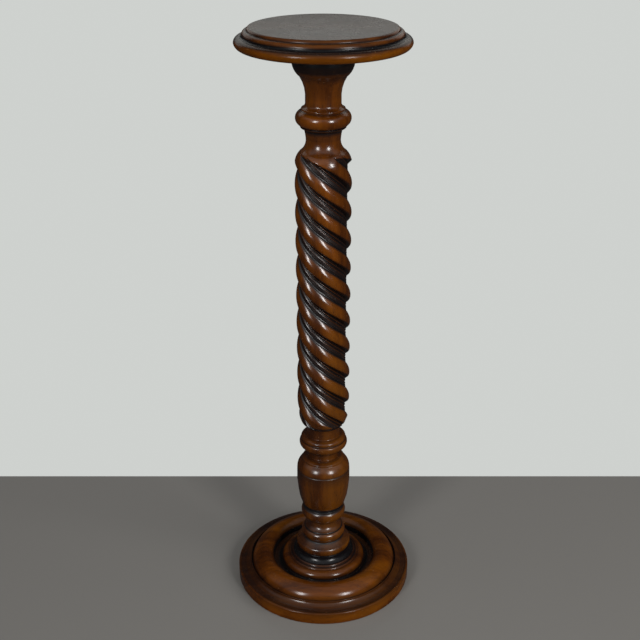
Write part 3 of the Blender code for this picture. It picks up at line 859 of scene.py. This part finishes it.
def stained_wood(name, grain_direction, gloss, dulling, lacquer_index=1.5, carved=False):
    """Stained, glazed and lacquered wood for one piece; a carved one shows the cutter's lines."""
    material = bpy.data.materials.new(name)
    material.use_nodes = True
    tree = material.node_tree
    shader = tree.nodes["Principled BSDF"]
    shader.inputs["IOR"].default_value = lacquer_index
    place = add_node(tree, "ShaderNodeTexCoord").outputs["Object"]

    grain = add_node(tree, "ShaderNodeGroup", node_tree=grain_group)
    feed(tree, grain.inputs["Place"], place)
    grain.inputs["Grain Direction"].default_value = grain_direction
    glaze_and_shade = add_node(tree, "ShaderNodeGroup", node_tree=glaze_and_shade_group)
    feed(tree, glaze_and_shade.inputs["Place"], place)
    lacquer = add_node(tree, "ShaderNodeGroup", node_tree=lacquer_group)
    feed(tree, lacquer.inputs["Place"], place)
    lacquer.inputs["Gloss"].default_value = gloss

    depth_of_stain = ramp_between(tree, grain.outputs["Streaks"], 0.30, 0.66)
    golden_patches = calculate(tree, "MULTIPLY", grain.outputs["Golden Patches"], GOLDEN_SHARE)
    worn_stain = mix_colours(tree, golden_patches, STAIN_LIGHT, STAIN_GOLDEN)
    stain = mix_colours(tree, depth_of_stain, STAIN_DARK, worn_stain)
    pores = calculate(tree, "MULTIPLY", grain.outputs["Pores"], 0.45)
    stain = mix_colours(tree, pores, stain, GLAZE_AND_SHADE_COLOUR)
    glaze_and_shade_left = glaze_and_shade.outputs["Glaze and Shade"]
    if carved:
        lines = add_node(tree, "ShaderNodeGroup", node_tree=line_group)
        feed(tree, lines.inputs["Place"], place)
        lines.inputs["Twist Head"].default_value = twist_head
        lines.inputs["Pitch"].default_value = TWIST_LEAD / STRANDS
        lines.inputs["Strands"].default_value = STRANDS
        cut_places = add_node(tree, "ShaderNodeAttribute", attribute_name="in grooves").outputs["Fac"]
        cut_places = ramp_between(tree, cut_places, 0.60, 0.90)
        ridges = calculate(tree, "MULTIPLY", lines.outputs["Lines"], cut_places)
        # partly a painted glint: thinning the glaze on the cutter's ridges lightens them like the glints along
        # the grooves
        wiped_off_and_glint = calculate(tree, "MULTIPLY", ridges, LINE_THINNING_AND_GLINT)
        glaze_and_shade_left = calculate(tree, "MULTIPLY", glaze_and_shade_left, calculate(tree, "SUBTRACT", 1.0, wiped_off_and_glint))
    # painted shade: where the mask is high the colour goes to near-black, for the glaze and for the shade in
    # hollows and under overhangs
    colour = mix_colours(tree, glaze_and_shade_left, stain, GLAZE_AND_SHADE_COLOUR)
    wear = add_node(tree, "ShaderNodeGroup", node_tree=wear_group)
    feed(tree, wear.inputs["Place"], place)
    feed(tree, wear.inputs["Glaze and Shade"], glaze_and_shade_left)
    for mark, share, mark_colour in (("Dust", DUST_SHARE, DUST_COLOUR), ("Nicks", NICK_SHARE, BARE_WOOD),
                                     ("Scratches", SCRATCH_SHARE, BARE_WOOD)):
        colour = mix_colours(tree, calculate(tree, "MULTIPLY", wear.outputs[mark], share), colour, mark_colour)
    feed(tree, shader.inputs["Base Color"], colour)
    thick_glaze = calculate(tree, "POWER", glaze_and_shade_left, GLAZE_BUILD)
    dulled = calculate(tree, "MULTIPLY", thick_glaze, dulling)
    feed(tree, shader.inputs["Roughness"], calculate(tree, "ADD", lacquer.outputs["Roughness"], dulled))
    bump = add_node(tree, "ShaderNodeBump")
    bump.inputs["Strength"].default_value = 0.25
    bump.inputs["Distance"].default_value = 0.25 * MM
    feed(tree, bump.inputs["Height"], lacquer.outputs["Height"])
    feed(tree, shader.inputs["Normal"], bump.outputs["Normal"])
    if carved:
        cut_lines = add_node(tree, "ShaderNodeBump")
        cut_lines.inputs["Distance"].default_value = LINE_HEIGHT
        feed(tree, cut_lines.inputs["Height"], ridges)
        feed(tree, bump.inputs["Normal"], cut_lines.outputs["Normal"])
    return material


column_wood = stained_wood("stained column", (1.0, 1.0, 0.08), 0.19, 0.14, 1.6, carved=True)
top_wood = stained_wood("stained top", (0.08, 1.0, 1.0), 0.21, 0.05, 1.30)
base_wood = stained_wood("stained base", (0.08, 1.0, 1.0), 0.15, 0.08, 1.42)

# %% Carve the column
input_ids = {item.name: item.identifier for item in twist_tree.interface.items_tree
             if item.item_type == "SOCKET" and item.in_out == "INPUT"}
carving = column.modifiers.new("carve_twist", "NODES")
carving.node_group = twist_tree
for socket_name, socket_type, value in twist_inputs:
    carving[input_ids[socket_name]] = column_wood if socket_name == "Wood" else value
plain_mesh(column)
weigh_normals(column, 50)
print(f"carved column: {count_triangles(column)} triangles, attributes "
      f"{[a.name for a in column.data.attributes if not a.name.startswith('.')]}")

for piece, wood in ((top, top_wood), (base, base_wood)):
    piece.data.materials.append(wood)

# %% [markdown]
# ## Standing in for the frame
#
# The three pieces take the place of the three solids that carry the pedestal's weight.

# %% Ride
for piece, node in ((top, "top"), (column, "column"), (base, "base")):
    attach(piece, "root")
    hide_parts(node)

# %% [markdown]
# ## Floor, backdrop and light
#
# The photograph was taken under two lamps, left and right of the camera. Their twin reflections sit side
# by side on every ring. The round pieces mirror a dark room beside that, while the flat of the top
# mirrors something pale behind it. So the lacquer doesn't see the floor, and a card that only
# reflections see stands where the flat of the top looks. The pale backdrop is the world's own colour,
# shown to the camera alone, so that nothing hides the pedestal from behind.

# %% Stage
HALF_WIDTH = 4.0
FLOOR_FRONT = 4.0
FLOOR_BACK = 0.30


def plain_surface(name, colour, roughness):
    """Plain material for the stage."""
    material = bpy.data.materials.new(name)
    material.use_nodes = True
    shader = material.node_tree.nodes["Principled BSDF"]
    shader.inputs["Base Color"].default_value = (*colour, 1.0)
    shader.inputs["Roughness"].default_value = roughness
    return material


def stage_sheet(name, corners, material):
    """One flat rectangle of the stage."""
    mesh = bpy.data.meshes.new(name)
    mesh.from_pydata(corners, [], [(0, 1, 2, 3)])
    mesh.materials.append(material)
    sheet = bpy.data.objects.new(name, mesh)
    bpy.context.scene.collection.objects.link(sheet)
    return sheet


floor = stage_sheet("floor", [(-HALF_WIDTH, -FLOOR_FRONT, 0.0), (HALF_WIDTH, -FLOOR_FRONT, 0.0),
                              (HALF_WIDTH, FLOOR_BACK, 0.0), (-HALF_WIDTH, FLOOR_BACK, 0.0)],
                    plain_surface("pale floor", (0.200, 0.191, 0.176), 0.5))
floor.visible_glossy = False

# %% Reflection card
CARD_HALF_WIDTH = 0.5
CARD_LOW = 1.0
CARD_HIGH = 1.45
card = stage_sheet("reflection card", [(-CARD_HALF_WIDTH, FLOOR_BACK, CARD_LOW), (CARD_HALF_WIDTH, FLOOR_BACK, CARD_LOW),
                                       (CARD_HALF_WIDTH, FLOOR_BACK, CARD_HIGH), (-CARD_HALF_WIDTH, FLOOR_BACK, CARD_HIGH)],
                   plain_surface("card", (0.64, 0.635, 0.60), 0.8))
card.visible_camera = False
card.visible_diffuse = False
card.visible_shadow = False

# %% Lights
LAMP_SIDE = 2.3
LAMP_FRONT = -3.3
LAMP_HEIGHT = 2.2


def soft_lamp(name, place, width, height, power):
    """Upright soft box that looks at the middle of the pedestal."""
    data = bpy.data.lights.new(name, "AREA")
    data.shape = "RECTANGLE"
    data.size = width
    data.size_y = height
    data.energy = power
    lamp = bpy.data.objects.new(name, data)
    lamp.location = place
    lamp.rotation_euler = (Vector((0.0, 0.0, 0.5)) - Vector(place)).to_track_quat("-Z", "Y").to_euler()
    lamp.visible_camera = False
    bpy.context.scene.collection.objects.link(lamp)
    return lamp


LAMP_WIDTH = 0.74
LAMP_LENGTH = 1.55
LEFT_LAMP_POWER = 76.0
RIGHT_LAMP_POWER = 88.0
FILL_PLACE = (3.0, -1.7, 1.7)
FILL_SIZE = 1.6
FILL_POWER = 46.0
soft_lamp("left_lamp", (-LAMP_SIDE, LAMP_FRONT, LAMP_HEIGHT), LAMP_WIDTH, LAMP_LENGTH, LEFT_LAMP_POWER)
soft_lamp("right_lamp", (LAMP_SIDE, LAMP_FRONT, LAMP_HEIGHT), LAMP_WIDTH, LAMP_LENGTH, RIGHT_LAMP_POWER)
fill = soft_lamp("fill", FILL_PLACE, FILL_SIZE, FILL_SIZE, FILL_POWER)
fill.visible_glossy = False
BACK_PLACE = (-0.4, 2.8, 1.3)
BACK_SIZE = 2.0
BACK_POWER = 16.0
back_light = soft_lamp("back_light", BACK_PLACE, BACK_SIZE, BACK_SIZE, BACK_POWER)
back_light.visible_glossy = False

# %% Room and backdrop
ROOM_COLOUR = (0.85, 0.87, 0.90, 1.0)
ROOM_DARKEST = 0.03
ROOM_PALEST = 0.50
PALE_FROM = 0.22
PALEST_FROM = 0.72
DARK_BEHIND = -0.40
PALE_IN_FRONT = 0.10
BACKDROP_COLOUR = (0.62, 0.64, 0.62, 1.0)
world = bpy.data.worlds.new("room")
world.use_nodes = True
room_tree = world.node_tree
room = room_tree.nodes["Background"]
room.inputs["Color"].default_value = ROOM_COLOUR
direction = add_node(room_tree, "ShaderNodeSeparateXYZ")
feed(room_tree, direction.inputs[0], add_node(room_tree, "ShaderNodeTexCoord").outputs["Generated"])
overhead = ramp_between(room_tree, direction.outputs["Z"], PALE_FROM, PALEST_FROM)
in_front = ramp_between(room_tree, calculate(room_tree, "MULTIPLY", direction.outputs["Y"], -1.0),
                        DARK_BEHIND, PALE_IN_FRONT)
pale_part = calculate(room_tree, "MULTIPLY", overhead, in_front)
feed(room_tree, room.inputs["Strength"], calculate(
    room_tree, "MULTIPLY_ADD", pale_part, ROOM_PALEST - ROOM_DARKEST, ROOM_DARKEST))
backdrop = add_node(room_tree, "ShaderNodeBackground")
backdrop.inputs["Color"].default_value = BACKDROP_COLOUR
seen_by = add_node(room_tree, "ShaderNodeLightPath")
either = add_node(room_tree, "ShaderNodeMixShader")
feed(room_tree, either.inputs["Fac"], seen_by.outputs["Is Camera Ray"])
room_tree.links.new(room.outputs["Background"], either.inputs[1])
room_tree.links.new(backdrop.outputs["Background"], either.inputs[2])
room_tree.links.new(either.outputs["Shader"], room_tree.nodes["World Output"].inputs["Surface"])
bpy.context.scene.world = world

# %% [markdown]
# Blender's usual view of a scene pulls strong dark colours towards grey, as film does. The camera of the
# photograph kept the stain's deep red-brown, so the plain view is chosen, and the colours below a
# lamp's brightness arrive in the picture as they were mixed.

# %% View
bpy.context.scene.view_settings.view_transform = "Standard"
